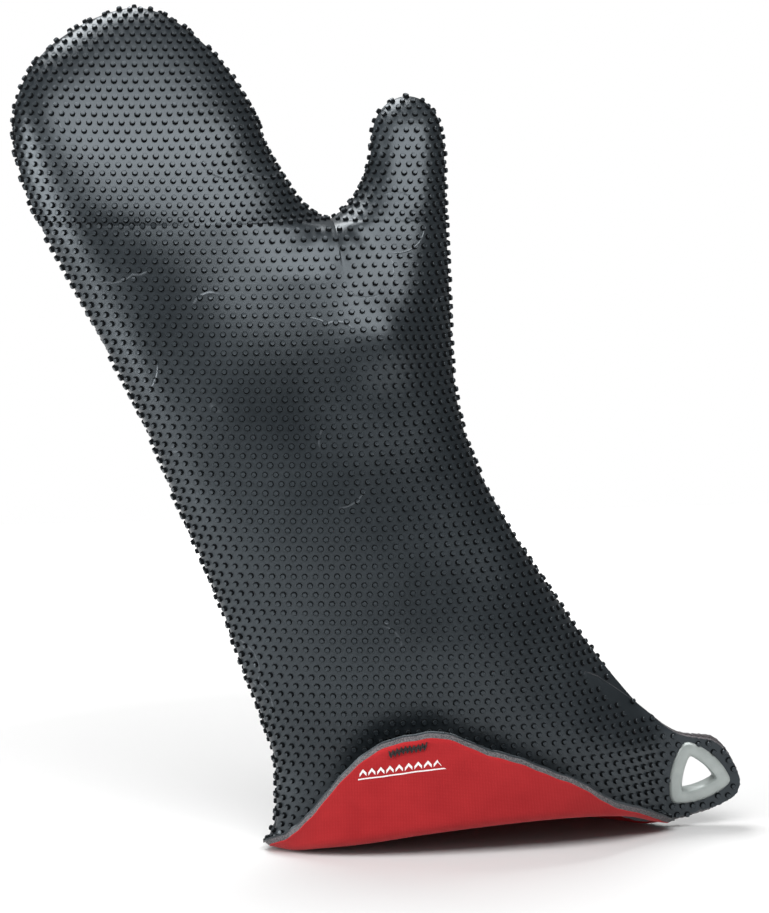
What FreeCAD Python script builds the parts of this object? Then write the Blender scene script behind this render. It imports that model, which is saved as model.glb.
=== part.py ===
"""Long rubber-faced oven mitt, standing on its open cuff with the front hem folded outwards.

Frame: +Z up along the standing mitt, -Y is the front (folded hem), +X is the thumb side.
The origin is on the standing plane, under the centre of the mitt's box.
Each panel is a laminate of moulded rubber, foam and lining. The front and the back panel meet
in one perimeter seam, whose surface is upright at the cuff and leans back towards the fingertips.
"""
import FreeCAD, Part
import math
import os

Vector = FreeCAD.Vector

SIZES = {
    "rubber_thick": 0.8,
    "foam_thick": 1.8,
    "lining_thick": 0.4,
    "seam_gap": 0.6,
    "thread_inset": 1.1,
    "thread_wide": 0.8,
    "thread_thick": 0.4,
    "fold_start": 34.0,
    "lean_back": 80.0,
    "lean_from": 60.0,
    "lean_top": 410.0,
    "origin_shift_x": -2.0,
    "origin_shift_y": -16.2,
    "crotch_x": -22.5,
    "crotch_z": 310.0,
    "crease_end_x": 46.0,
    "crease_end_z": 206.0,
    "knuckle_z": 324.0,
    "body_gap": 0.6,
    "thumb_fold_deg": 35.0,
    "finger_fold_deg": 45.0,
    "tab_centre_x": 158.5,
    "tab_centre_z": 25.5,
    "tab_inner": 18.5,
    "flare_out": 4.0,
    "flare_high": 10.0,
    "tab_corner": 6.0,
    "side_arc": 38.0,
    "corner_turn_deg": 108.0,
    "grommet_inner": 12.6,
    "grommet_corner": 5.0,
    "grommet_flange": 1.6,
    "grommet_bore": 6.2,
    "grommet_wall": 1.8,
    "bore_corner": 2.0,
    "tube_clearance": 0.15,
    "tack_long": 17.0,
    "tack_wide": 4.0,
    "tack_thick": 0.7,
    "tack_lift": 0.25,
    "smallest_piece": 20.0,
    "window_thick": 0.4,
    "window_margin": 0.1,
}

# Height, left edge, right edge, half depth of the front and of the back panel.
HAND_STATIONS = [
    (0.0, -56.0, 142.0, 28.0, 39.0),
    (34.0, -56.0, 142.0, 28.0, 38.0),
    (52.0, -60.0, 136.5, 28.5, 37.0),
    (69.0, -64.5, 122.5, 29.0, 36.0),
    (98.0, -75.5, 99.5, 29.0, 34.0),
    (127.0, -85.0, 79.5, 28.5, 32.0),
    (156.0, -97.0, 61.0, 28.0, 30.0),
    (183.0, -107.5, 47.0, 28.0, 28.5),
    (211.0, -119.0, 37.5, 28.0, 28.0),
    (231.0, -128.5, 33.0, 28.0, 28.0),
    (252.0, -139.5, 24.0, 28.0, 28.0),
    (281.0, -154.0, -4.0, 27.0, 27.0),
    (308.0, -167.5, -33.0, 26.0, 26.0),
    (328.0, -174.3, -46.0, 25.0, 25.0),
    (349.0, -177.6, -55.0, 23.5, 23.5),
    (369.0, -174.3, -64.0, 20.5, 20.5),
    (385.0, -164.3, -75.5, 16.5, 16.5),
    (396.0, -150.6, -86.3, 12.0, 12.0),
    (403.5, -138.0, -96.0, 7.5, 7.5),
    (407.5, -125.0, -107.0, 3.0, 3.0),
]
THUMB_STATIONS = [
    (214.0, -34.0, 18.0, 18.0, 18.0),
    (232.0, -38.0, 30.0, 20.0, 20.0),
    (248.0, -40.0, 35.0, 21.0, 21.0),
    (278.0, -36.0, 34.8, 20.5, 20.5),
    (299.0, -27.0, 34.8, 19.0, 19.0),
    (313.0, -12.5, 35.2, 17.0, 17.0),
    (328.0, -5.0, 35.5, 15.0, 15.0),
    (343.0, -0.5, 35.5, 13.0, 13.0),
    (354.0, 2.4, 34.0, 10.5, 10.5),
    (360.5, 7.0, 30.0, 7.0, 7.0),
    (363.8, 13.5, 24.0, 3.0, 3.0),
]

# Along the front cuff from the left seam (0) to the right seam (1): lowest height of the fold,
# how far the hem turns, length of the turned-up lip beyond the turn, and inner radius of the turn.
FOLD_STATIONS = [
    (0.00, 0.4, 4.0, 6.0, 4.0),
    (0.03, 1.4, 50.0, 2.5, 4.0),
    (0.06, 0.9, 95.0, 7.0, 4.0),
    (0.13, 0.4, 140.0, 8.5, 4.0),
    (0.20, 2.5, 158.0, 18.0, 5.0),
    (0.30, 5.8, 166.0, 43.0, 5.5),
    (0.40, 10.4, 167.0, 49.5, 6.0),
    (0.50, 13.7, 165.0, 36.5, 6.0),
    (0.62, 15.5, 158.0, 19.5, 6.0),
    (0.75, 12.6, 132.0, 4.0, 5.5),
    (0.86, 5.5, 100.0, 5.5, 5.0),
    (0.94, 3.5, 66.0, 5.0, 5.0),
    (0.97, 2.0, 36.0, 4.0, 4.5),
    (1.00, 0.0, 4.0, 6.0, 4.0),
]
LIP_SAMPLES = 4
TURN_SAMPLES = 6
TACK_AT = 0.372
TACK_HALF_SPAN = 0.04
TACK_DEPTH = 0.5

TAB_WEB = [(112.0, 74.0), (149.0, 50.5), (161.0, 44.0), (161.0, 7.5), (139.0, 3.2), (112.0, 9.0)]

FRONT = -1
BACK = 1
LAYERS = ["rubber", "foam", "lining"]


def make_sheet(doc):
    """Put every driving dimension in a spreadsheet with its name as alias."""
    sheet = doc.addObject("Spreadsheet::Sheet", "Sizes")
    for row, (name, value) in enumerate(SIZES.items(), start=1):
        sheet.set("A%d" % row, name)
        sheet.set("B%d" % row, str(value))
        sheet.setAlias("B%d" % row, name)
    doc.recompute()
    return sheet


def seam_depth(sheet, height):
    """How far back the leaning seam surface lies at a height."""
    rise = max(height - sheet.lean_from, 0.0) / (sheet.lean_top - sheet.lean_from)
    return sheet.lean_back * rise * rise


def seam_slope(sheet, low, high):
    """Backward run for each millimetre of rise, between two heights."""
    return (seam_depth(sheet, high) - seam_depth(sheet, low)) / (high - low)


def half_section(sheet, left, right, depth, height, inset, side):
    """Closed D-shaped wire: half an ellipse on one side of the seam surface."""
    gap = sheet.seam_gap
    half_width = (right - left) / 2.0 - inset
    half_depth = min(max(depth - gap / 2.0 - inset, 0.35), half_width)
    centre = Vector((left + right) / 2.0, seam_depth(sheet, height) + side * gap / 2.0, height)
    ellipse = Part.Ellipse(centre, half_width, half_depth)
    start = 0.0 if side == BACK else math.pi
    arc = Part.ArcOfEllipse(ellipse, start, start + math.pi).toShape()
    chord = Part.makeLine(arc.Vertexes[-1].Point, arc.Vertexes[0].Point)
    return Part.Wire([arc, chord])


def inset_rows(stations, inset, open_below):
    """Stations of a closed-ended tube as (left, right, front, back, level, inset), moved inwards."""
    rows = []
    last = len(stations) - 1
    for index, (height, left, right, front, back) in enumerate(stations):
        level = height
        inset_here = inset
        if index == last:
            level = height - inset
            inset_here = min(inset, (right - left) / 2.0 - 1.0)
        elif index >= last - 3:
            level = height - inset * (index - last + 4) / 5.0
        if index == 0 and open_below:
            level = height - inset
        rows.append((left, right, front, back, level, inset_here))
    return rows


def tube_half(sheet, stations, inset, side, open_below):
    """Loft one half of a closed-ended tube, inset from its outer surface."""
    wires = []
    for left, right, front, back, level, inset_here in inset_rows(stations, inset, open_below):
        depth = front if side == FRONT else back
        wires.append(half_section(sheet, left, right, depth, level, inset_here, side))
    return Part.makeLoft(wires, True, True)


def tube_window(sheet, stations, inset, side, open_below):
    """Thin slab over the open side of a half tube, so that cutting leaves no skin across it."""
    wires = []
    half = sheet.window_thick / 2.0
    for left, right, _, _, level, inset_here in inset_rows(stations, inset, open_below):
        near = left + inset_here + sheet.window_margin
        far = right - inset_here - sheet.window_margin
        depth = seam_depth(sheet, level) + side * sheet.seam_gap / 2.0
        corners = [Vector(near, depth - half, level), Vector(far, depth - half, level),
                   Vector(far, depth + half, level), Vector(near, depth + half, level)]
        wires.append(Part.makePolygon(corners + corners[:1]))
    return Part.makeLoft(wires, True, True)


def layer_insets(sheet):
    """Depth of each layer's two faces below the outer rubber face."""
    rubber = sheet.rubber_thick
    foam = rubber + sheet.foam_thick
    lining = foam + sheet.lining_thick
    return {"rubber": (0.0, rubber), "foam": (rubber, foam), "lining": (foam, lining)}


def hand_stations(sheet, side):
    """Stations of the hand tube: the front panel's straight wall begins above its fold."""
    if side == FRONT:
        return [row for row in HAND_STATIONS if row[0] >= sheet.fold_start]
    return HAND_STATIONS


def mitt_half(sheet, inset, side):
    """Hand tube joined to thumb tube, on one side of the seam surface."""
    hand = tube_half(sheet, hand_stations(sheet, side), inset, side, inset > 0)
    thumb = tube_half(sheet, THUMB_STATIONS, inset, side, False)
    return hand.fuse(thumb)


def mitt_windows(sheet, inset, side):
    """The windows of the hand tube and of the thumb tube."""
    return [tube_window(sheet, hand_stations(sheet, side), inset, side, inset > 0),
            tube_window(sheet, THUMB_STATIONS, inset, side, False)]


def at_share(rows, share):
    """Smooth interpolation of the fold stations at a share of the way along the cuff."""
    spot = 0
    while spot < len(rows) - 2 and share > rows[spot + 1][0]:
        spot += 1
    low = rows[spot]
    high = rows[spot + 1]
    blend = (share - low[0]) / (high[0] - low[0])
    blend = blend * blend * (3.0 - 2.0 * blend)
    return [a + (b - a) * blend for a, b in zip(low[1:], high[1:])]


def cuff_frame(sheet, share):
    """Point on the front cuff ellipse at the fold's start, and its outward direction."""
    height, left, right, depth, _ = [row for row in HAND_STATIONS if row[0] == sheet.fold_start][0]
    half_width = (right - left) / 2.0
    half_depth = depth - sheet.seam_gap / 2.0
    angle = math.pi * share
    across = -math.cos(angle)
    out = -math.sin(angle)
    point = Vector((left + right) / 2.0 + half_width * across, half_depth * out - sheet.seam_gap / 2.0, height)
    normal = Vector(across / half_width, out / half_depth, 0)
    normal.normalize()
    return point, normal


def fold_profile(sheet, share, inset):
    """Points down the wall, round the turn and up the lip, for one face of the laminate."""
    point, normal = cuff_frame(sheet, share)
    low, turn_deg, lip, radius = at_share(FOLD_STATIONS, share)
    laminate = sheet.rubber_thick + sheet.foam_thick + sheet.lining_thick
    centre_height = low + radius + laminate
    reach = radius + inset
    points = [point - normal * inset]
    points.append(Vector(points[0].x, points[0].y, (point.z + centre_height) / 2.0))
    turn = math.radians(turn_deg)
    for index in range(TURN_SAMPLES + 1):
        angle = turn * index / TURN_SAMPLES
        spot = point + normal * (radius - reach * math.cos(angle))
        spot.z = centre_height - reach * math.sin(angle)
        points.append(spot)
    end = points[-1]
    for index in range(1, LIP_SAMPLES + 1):
        along = lip * index / LIP_SAMPLES
        spot = end + normal * (math.sin(turn) * along)
        spot.z = end.z - math.cos(turn) * along
        points.append(spot)
    return points


def fold_layer(sheet, inner, outer):
    """One layer of the turned-out front hem, lofted round the front of the cuff."""
    wires = []
    shares = [row[0] for row in FOLD_STATIONS]
    dense = []
    for low, high in zip(shares[:-1], shares[1:]):
        dense.extend([low, (low + high) / 2.0])
    dense.append(shares[-1])
    for share in dense:
        near = fold_profile(sheet, share, inner)
        far = fold_profile(sheet, share, outer)
        curve_near = Part.BSplineCurve()
        curve_near.interpolate(near)
        curve_far = Part.BSplineCurve()
        curve_far.interpolate(far)
        edges = [curve_near.toShape(), Part.makeLine(near[-1], far[-1])]
        back_edge = curve_far.toShape()
        back_edge.reverse()
        edges.append(back_edge)
        edges.append(Part.makeLine(far[0], near[0]))
        wires.append(Part.Wire(edges))
    return Part.makeLoft(wires, True, True)


def rounded_triangle(sheet, inner_radius, corner, low_y, high_y):
    """Convex-sided triangle between two depths, as the common part of three cylinders."""
    parts = []
    for index in range(3):
        mid = math.radians(sheet.corner_turn_deg + 60.0 + 120.0 * index)
        back_off = sheet.side_arc - inner_radius
        centre = Vector(sheet.tab_centre_x - back_off * math.cos(mid), low_y,
                        sheet.tab_centre_z - back_off * math.sin(mid))
        parts.append(Part.makeCylinder(sheet.side_arc, high_y - low_y, centre, Vector(0, 1, 0)))
    shape = parts[0].common(parts[1]).common(parts[2])
    upright = [edge for edge in shape.Edges if is_along_y(edge)]
    return shape.makeFillet(corner, upright)


def is_along_y(edge):
    """True for a straight edge that runs through the tab's thickness."""
    if len(edge.Vertexes) != 2:
        return False
    run = edge.Vertexes[1].Point - edge.Vertexes[0].Point
    return abs(abs(run.y) - run.Length) < 1e-6 and run.Length > 0


def tab_layer(sheet, inner, outer, side, body):
    """One layer of the hanging tab, with the grommet's hole, cut where the mitt's tube begins."""
    laminate = sheet.rubber_thick + sheet.foam_thick + sheet.lining_thick
    face = laminate + sheet.seam_gap / 2.0
    depths = sorted([side * (face - inner), side * (face - outer)])
    disc = rounded_triangle(sheet, sheet.tab_inner, sheet.tab_corner, depths[0], depths[1])
    corners = [Vector(x, depths[0], z) for x, z in TAB_WEB]
    web = Part.Face(Part.makePolygon(corners + corners[:1])).extrude(Vector(0, depths[1] - depths[0], 0))
    hole_inner = sheet.grommet_bore + sheet.grommet_wall + sheet.tube_clearance
    hole = rounded_triangle(sheet, hole_inner, sheet.bore_corner + sheet.grommet_wall, -9.0, 9.0)
    return disc.fuse(web).removeSplitter().cut(hole).cut(body)


def crease_wedge(corner, direction, out, front, length, gap, fold_deg):
    """Prism that parts two bodies at a crease: a slit behind the axis, a V in front of it."""
    reach = 70.0
    half = gap / 2.0
    spread = half + reach * math.tan(math.radians(fold_deg / 2.0))
    outline = [corner - out * half - front * reach, corner + out * half - front * reach,
               corner + out * half, corner + out * spread + front * reach,
               corner - out * spread + front * reach, corner - out * half]
    face = Part.Face(Part.makePolygon(outline + outline[:1]))
    return face.extrude(direction * length)


def thumb_crease(sheet):
    """Corner, axis direction, outward and frontward directions of the thumb's crease, and its length."""
    low = sheet.crease_end_z
    high = sheet.crotch_z
    corner = Vector(sheet.crotch_x, seam_depth(sheet, high), high)
    axis = Vector(sheet.crease_end_x, seam_depth(sheet, low), low) - corner
    length = axis.Length
    axis.normalize()
    front = Vector(0, -1, seam_slope(sheet, low, high))
    front.normalize()
    return corner, axis, front.cross(axis), front, length


def finger_crease(sheet):
    """The same for the fingers' crease, which runs from left to right."""
    level = sheet.knuckle_z
    corner = Vector(-200.0, seam_depth(sheet, level), level)
    axis = Vector(1, 0, 0)
    front = Vector(0, -1, seam_slope(sheet, level - 1.0, level + 1.0))
    front.normalize()
    return corner, axis, front.cross(axis), front, 172.0


def body_cutters(sheet):
    """Crease prisms for the thumb and for the fingers."""
    cutters = []
    folds = (sheet.thumb_fold_deg, sheet.finger_fold_deg)
    for crease, fold_deg in zip((thumb_crease(sheet), finger_crease(sheet)), folds):
        corner, axis, out, front, length = crease
        cutters.append(crease_wedge(corner, axis, out, front, length, sheet.body_gap, fold_deg))
    return cutters


def body_of(sheet, solid):
    """Name of the body a cut piece belongs to."""
    centre = solid.CenterOfMass
    corner, _, out, _, _ = thumb_crease(sheet)
    if centre.z > sheet.knuckle_z and centre.x < sheet.crotch_x:
        return "fingers"
    if (centre - corner).dot(out) > 0 and centre.z > sheet.crease_end_z:
        return "thumb"
    return "hand"


def split_by_body(sheet, shape, cutters):
    """Cut a shape at the creases and group its solids by body."""
    for cutter in cutters:
        shape = shape.cut(cutter)
    groups = {"hand": [], "fingers": [], "thumb": []}
    for solid in shape.Solids:
        if solid.Volume > sheet.smallest_piece:
            groups[body_of(sheet, solid)].append(solid)
    return groups


def make_panels(sheet):
    """Solids of every laminate layer, front and back, for each body."""
    cutters = body_cutters(sheet)
    insets = layer_insets(sheet)
    pieces = {}
    for side, side_name in ((FRONT, "front"), (BACK, "back")):
        outer = mitt_half(sheet, 0.0, side)
        skin = outer
        for layer in LAYERS:
            inner_inset = insets[layer][1]
            inner = mitt_half(sheet, inner_inset, side)
            shell = outer.cut(inner)
            for window in mitt_windows(sheet, inner_inset, side):
                shell = shell.cut(window)
            shell = shell.common(standing_space(sheet, side))
            groups = split_by_body(sheet, shell, cutters)
            if side == FRONT:
                groups["hand"].extend(fold_layer(sheet, *insets[layer]).Solids)
            groups["hand"].extend(tab_layer(sheet, *insets[layer], side, tab_clearance(sheet, skin)).Solids)
            for body, solids in groups.items():
                pieces["%s_%s_%s" % (body, side_name, layer)] = Part.makeCompound(solids)
            outer = inner
    return pieces


def standing_space(sheet, side):
    """Box above the level where a panel's straight wall begins."""
    floor = sheet.fold_start if side == FRONT else 0.0
    return Part.makeBox(600.0, 300.0, 500.0, Vector(-300.0, -100.0, floor))


def tab_clearance(sheet, skin):
    """Everything the tab must stay out of: the mitt's tube, the cuff below it and the flared hem."""
    right = HAND_STATIONS[0][2]
    reach = 40.0
    cuff = Part.makeBox(reach, 2 * reach, sheet.fold_start, Vector(right - reach, -reach, 0))
    flare = Part.makeBox(reach + sheet.flare_out, 2 * reach, sheet.flare_high, Vector(right - reach, -reach, 0))
    return skin.fuse(cuff).fuse(flare)


def make_thread(sheet):
    """Seam thread of each body: a thin band between the panels, inside the mitt's edge."""
    near = edge_plate(sheet.thread_inset)
    far = edge_plate(sheet.thread_inset + sheet.thread_wide)
    band = near.cut(far).common(seam_slab(sheet))
    groups = split_by_body(sheet, band, body_cutters(sheet))
    return {"%s_seam_thread" % body: Part.makeCompound(solids) for body, solids in groups.items()}


def seam_slab(sheet):
    """Thin leaning slab, midway between the two panels."""
    half = sheet.thread_thick / 2.0
    wires = []
    for height in [0.5] + [row[0] for row in HAND_STATIONS[1:]] + [sheet.lean_top]:
        depth = seam_depth(sheet, height)
        corners = [Vector(-250.0, depth - half, height), Vector(250.0, depth - half, height),
                   Vector(250.0, depth + half, height), Vector(-250.0, depth + half, height)]
        wires.append(Part.makePolygon(corners + corners[:1]))
    return Part.makeLoft(wires, True, True)


def edge_plate(inset):
    """Thick plate bounded by the mitt's outline at an inset."""
    plates = []
    for stations in (HAND_STATIONS, THUMB_STATIONS):
        left = []
        right = []
        for height, left_x, right_x, _, _ in stations:
            level = height
            if height == stations[-1][0]:
                level = height - inset
            left.append(Vector(left_x + inset, -20.0, level))
            right.append(Vector(right_x - inset, -20.0, level))
        ring = left + right[::-1]
        face = Part.Face(Part.makePolygon(ring + ring[:1]))
        plates.append(face.extrude(Vector(0, 130.0, 0)))
    return plates[0].fuse(plates[1])


def make_grommet(sheet):
    """Front flange with its tube, and the back washer it is pressed into."""
    laminate = sheet.rubber_thick + sheet.foam_thick + sheet.lining_thick
    face = laminate + sheet.seam_gap / 2.0
    flange = sheet.grommet_flange
    wall = sheet.grommet_bore + sheet.grommet_wall
    front_blank = rounded_triangle(sheet, sheet.grommet_inner, sheet.grommet_corner, -face - flange, -face)
    tube = rounded_triangle(sheet, wall, sheet.bore_corner + sheet.grommet_wall, -face - flange, face + flange)
    bore = rounded_triangle(sheet, sheet.grommet_bore, sheet.bore_corner, -20.0, 20.0)
    front = front_blank.fuse(tube).cut(bore).removeSplitter()
    washer = rounded_triangle(sheet, sheet.grommet_inner, sheet.grommet_corner, face, face + flange)
    seat = rounded_triangle(sheet, wall + 0.05, sheet.bore_corner + sheet.grommet_wall, -20.0, 20.0)
    return {"grommet_front": front, "grommet_back": washer.cut(seat)}


def make_bar_tack(sheet):
    """Bar of zigzag stitching on the lining, just below the middle of the turned-out hem."""
    laminate = sheet.rubber_thick + sheet.foam_thick + sheet.lining_thick
    ends = []
    for share in (TACK_AT - TACK_HALF_SPAN, TACK_AT + TACK_HALF_SPAN):
        profile = fold_profile(sheet, share, laminate)
        ends.append(profile[-1] + (profile[-2] - profile[-1]) * TACK_DEPTH)
    profile = fold_profile(sheet, TACK_AT, laminate)
    down = profile[-2] - profile[-1]
    middle = profile[-1] + down * TACK_DEPTH
    along = ends[1] - ends[0]
    along.normalize()
    out = along.cross(down)
    out.normalize()
    if out.y > 0:
        out = out * -1
    across = out.cross(along)
    base = middle + out * sheet.tack_lift - along * (sheet.tack_long / 2) - across * (sheet.tack_wide / 2)
    corners = [base, base + along * sheet.tack_long,
               base + along * sheet.tack_long + across * sheet.tack_wide, base + across * sheet.tack_wide]
    face = Part.Face(Part.makePolygon(corners + corners[:1]))
    return {"bar_tack": face.extrude(out * sheet.tack_thick)}


def add_nodes(doc, sheet, shapes):
    """Make one document object for each named shape and place it on the standing plane."""
    nodes = []
    for name, shape in shapes.items():
        node = doc.addObject("Part::Feature", name)
        node.Label = name
        node.Shape = shape
        node.Placement = FreeCAD.Placement(Vector(sheet.origin_shift_x, sheet.origin_shift_y, 0),
                                           FreeCAD.Rotation())
        nodes.append(node)
    return nodes


def check_document(doc, nodes):
    """Stop when any object failed or any sub-part's shape is missing or invalid."""
    for item in doc.Objects:
        if "Invalid" in item.State or "Error" in item.State:
            raise RuntimeError("object failed: " + item.Label)
    for node in nodes:
        if node.Shape.isNull() or not node.Shape.isValid() or not node.Shape.Solids:
            raise RuntimeError("bad shape: " + node.Label)


def main():
    doc = FreeCAD.newDocument("oven_mitt")
    sheet = make_sheet(doc)
    shapes = make_panels(sheet)
    shapes.update(make_thread(sheet))
    shapes.update(make_grommet(sheet))
    shapes.update(make_bar_tack(sheet))
    nodes = add_nodes(doc, sheet, shapes)
    doc.recompute()
    check_document(doc, nodes)
    os.makedirs("parts", exist_ok=True)
    for node in nodes:
        node.Shape.exportStep("parts/%s.step" % node.Label)
        box = node.Shape.BoundBox
        print("%-24s %8.0f mm3  solids %d" % (node.Label, node.Shape.Volume, len(node.Shape.Solids)))


main()
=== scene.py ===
"""Looks of a long nubbed rubber oven mitt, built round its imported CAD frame.

Shapes are worked out in millimetres in the mitt's design axes (x to the thumb side, y to the back,
z up) and turned into the frame's metres when a mesh is made.
"""
import math

import bpy
import numpy as np
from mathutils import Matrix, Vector


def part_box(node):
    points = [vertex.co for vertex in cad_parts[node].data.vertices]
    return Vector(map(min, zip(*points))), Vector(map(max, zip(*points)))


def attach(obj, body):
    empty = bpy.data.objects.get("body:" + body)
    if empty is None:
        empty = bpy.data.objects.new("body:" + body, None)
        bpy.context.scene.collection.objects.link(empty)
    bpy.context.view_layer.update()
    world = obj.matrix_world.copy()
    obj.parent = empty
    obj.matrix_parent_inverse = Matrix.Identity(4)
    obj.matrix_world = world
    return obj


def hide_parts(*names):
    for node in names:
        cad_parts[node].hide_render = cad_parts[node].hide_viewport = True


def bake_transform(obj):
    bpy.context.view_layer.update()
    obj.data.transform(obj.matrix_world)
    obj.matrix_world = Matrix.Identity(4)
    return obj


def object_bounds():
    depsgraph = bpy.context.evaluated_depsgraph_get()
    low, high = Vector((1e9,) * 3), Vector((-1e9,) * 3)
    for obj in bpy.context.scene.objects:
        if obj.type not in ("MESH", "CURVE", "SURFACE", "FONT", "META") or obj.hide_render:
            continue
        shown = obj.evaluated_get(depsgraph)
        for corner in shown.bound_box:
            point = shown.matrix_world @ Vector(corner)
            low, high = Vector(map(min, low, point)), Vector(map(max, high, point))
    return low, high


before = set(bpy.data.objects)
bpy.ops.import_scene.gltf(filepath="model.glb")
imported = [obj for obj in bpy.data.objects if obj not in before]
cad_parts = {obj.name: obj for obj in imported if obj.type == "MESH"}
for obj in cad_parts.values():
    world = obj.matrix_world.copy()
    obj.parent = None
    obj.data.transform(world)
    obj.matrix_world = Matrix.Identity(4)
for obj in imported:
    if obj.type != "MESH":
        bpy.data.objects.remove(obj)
CAD_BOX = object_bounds()

# ---------------------------------------------------------------- sizes, in millimetres

RUBBER = (0.0, 0.8)
FOAM = (0.8, 2.6)
LINING = (2.6, 3.0)
LAMINATE = 3.0
LAYERS = (("rubber", RUBBER), ("foam", FOAM), ("lining", LINING))

LEAN_BACK, LEAN_FROM, LEAN_RISE = 80.0, 60.0, 350.0
FOLD_Z = 34.0
CROTCH_X, CROTCH_Z = -22.8, 306.5
CUFF_MIDDLE, CUFF_HALF, CUFF_DEPTH = 43.0, 99.0, 28.0
FINGER_TOP = 409.0
THUMB_TOP = 364.8

# Outline of the laid-flat mitt: (height, x) pairs.
LEFT_EDGE = [(0, -56), (34, -56), (62, -62.4), (90, -72.5), (118, -82), (146, -92.8), (173, -104),
             (201, -114.6), (228, -126.8), (255, -140.6), (282, -154.1), (309, -167.7), (328, -174.4)]
RIGHT_EDGE = [(0, 142), (40, 142), (54, 135.5), (69, 122.5), (84, 110.2), (98, 99.5), (127, 79.4),
              (156, 61.2), (183, 46.9), (197, 41.6), (211, 37.9), (225, 35.9), (245, 34.9), (307, 35)]
FINGER_LEFT = [(328, -174.4), (349, -177.6), (362, -176.3), (376, -170.8), (389, -160.4),
               (398, -148), (403, -139), (407.5, -126), (FINGER_TOP, -115)]
FINGER_RIGHT = [(CROTCH_Z, CROTCH_X), (308.5, -28.8), (313.6, -36.4), (327.6, -45.8), (341, -53.1),
                (355, -57.6), (368, -63.7), (382, -72.5), (396, -86.2), (402.6, -94.8),
                (407.5, -105), (FINGER_TOP, -115)]
THUMB_LEFT = [(CROTCH_Z, CROTCH_X), (308.6, -19.2), (313.6, -12.8), (321, -7.5), (333.7, -1.8),
              (347, 0.2), (354, 2.4), (360, 6.7), (363.8, 13), (THUMB_TOP, 19)]
THUMB_RIGHT = [(CROTCH_Z, 35), (340, 36), (347, 35.2), (354, 34), (360, 30.3), (363.8, 25),
               (THUMB_TOP, 19)]

# Half depths: (height, depth) pairs.
FRONT_DEPTH = [(0, 28), (34, 28), (69, 29), (127, 28.5), (252, 28), (281, 27), (CROTCH_Z, 26.2),
               (328, 25)]
BACK_DEPTH = [(0, 39), (34, 38), (69, 36), (98, 34), (127, 32), (156, 30), (183, 28.5), (252, 28),
              (281, 27), (CROTCH_Z, 26.2), (328, 25)]
FINGER_DEPTH = [(CROTCH_Z, 26.2), (328, 25), (349, 23.5), (369, 20.5), (385, 16.5), (396, 12),
                (403.5, 7.7), (407.5, 3.6), (FINGER_TOP, 0)]
THUMB_DEPTH = [(261, 21), (CROTCH_Z, 18), (328, 15), (343, 13), (354, 10.5), (360.5, 6.6),
               (363.8, 2.8), (THUMB_TOP, 0)]

# The turned-out front hem, from the left seam (0) to the right seam (1).
FOLD_LOW = [(0, 0.4), (0.03, 1.4), (0.06, 0.9), (0.13, 0.4), (0.2, 2.5), (0.3, 5.8), (0.4, 10.4),
            (0.5, 13.7), (0.62, 15.5), (0.75, 12.6), (0.86, 5.5), (0.94, 3.5), (0.97, 3), (1, 0.4)]
FOLD_TURN = [(0, 4), (0.03, 50), (0.06, 95), (0.13, 140), (0.2, 158), (0.3, 166), (0.4, 167),
             (0.5, 165), (0.62, 158), (0.75, 132), (0.86, 100), (0.94, 66), (0.97, 36), (1, 4)]
FOLD_LIP = [(0, 6), (0.03, 2.5), (0.06, 7), (0.13, 8.5), (0.2, 18), (0.3, 43), (0.4, 49.5), (0.5, 36.5),
            (0.62, 19.5), (0.75, 4), (0.86, 5.5), (0.94, 5), (0.97, 3.5), (1, 3.4)]
FOLD_RADIUS = [(0, 4), (0.13, 4), (0.2, 5), (0.3, 5.5), (0.4, 6), (0.62, 6), (0.75, 5.5), (0.86, 5),
               (0.94, 5), (1, 4)]

# Grid columns from seam to seam, the fingers' share of them, and rows of the lip.
COLUMNS = 120
FINGER_COLUMNS = 78
THUMB_COLUMNS = COLUMNS - FINGER_COLUMNS
LIP_ROWS = 18

LOBE_MIX = 70.0       # height over which one tube becomes two lobes
VALLEY = 26.0         # height of the dip below the crotch
VALLEY_WIDTH = 13.0
EVEN_COLUMNS = 5      # columns each side of the valley whose normals are evened out
CUT_SLANT = 0.95      # how far the cut edge draws back for each millimetre of depth
CORNER_LIFT = 3.8     # of the back hem, at the tab's end
FLARE_FRONT, FLARE_BACK, FLARE_HIGH, FLARE_SHARE = 3.0, 5.0, 9.0, 0.05
LENS_POWER = 0.9

ROOT_X, ROOT_Z, ROOT_WIDE, ROOT_LONG, ROOT_HIGH, ROOT_BACK = -5.0, 249.0, 19.0, 22.0, 8.0, 0.3
GROOVE_DEEP, GROOVE_SIDE = 0.9, 0.3

# Nubs: rows a triangle's height apart, and a profile of (radius, height) from the foot to the top.
NUB_PITCH = 5.25
NUB_ROW = NUB_PITCH * math.sqrt(3.0) / 2.0
NUB_SIDES = 7
# The profile's first two spans, a foot flared below the surface and the wall, are drawn in painted shade: a
# dark ring that stands in for each nub's shadow.
NUB_PROFILE = [(1.72, -0.3), (1.45, 0.2), (1.24, 1.35), (1.03, 1.72), (0.58, 1.68)]
NUB_SHADED_SPANS = 2         # spans of the profile that are wall
NUB_MARGIN = 1.5      # bare rubber beside a seam
NUB_SPREAD = 0.04
NUB_SHARP = 60.0

FRONT, BACK = -1, 1
SIDES = ((FRONT, "front"), (BACK, "back"))

# The design axes' origin in the frame: the mitt's left end and the grommet's middle plane fix it.
grommet_low, grommet_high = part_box("grommet_front")
LEFT_END = min(x for _, x in FINGER_LEFT)
SHIFT = np.array([CAD_BOX[0].x * 1000.0 - LEFT_END, (grommet_low.y + grommet_high.y) * 500.0, 0.0])


# ---------------------------------------------------------------- helpers

def smooth(share):
    """0 to 1 with a soft start and end."""
    share = np.clip(share, 0.0, 1.0)
    return share * share * (3.0 - 2.0 * share)


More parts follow.
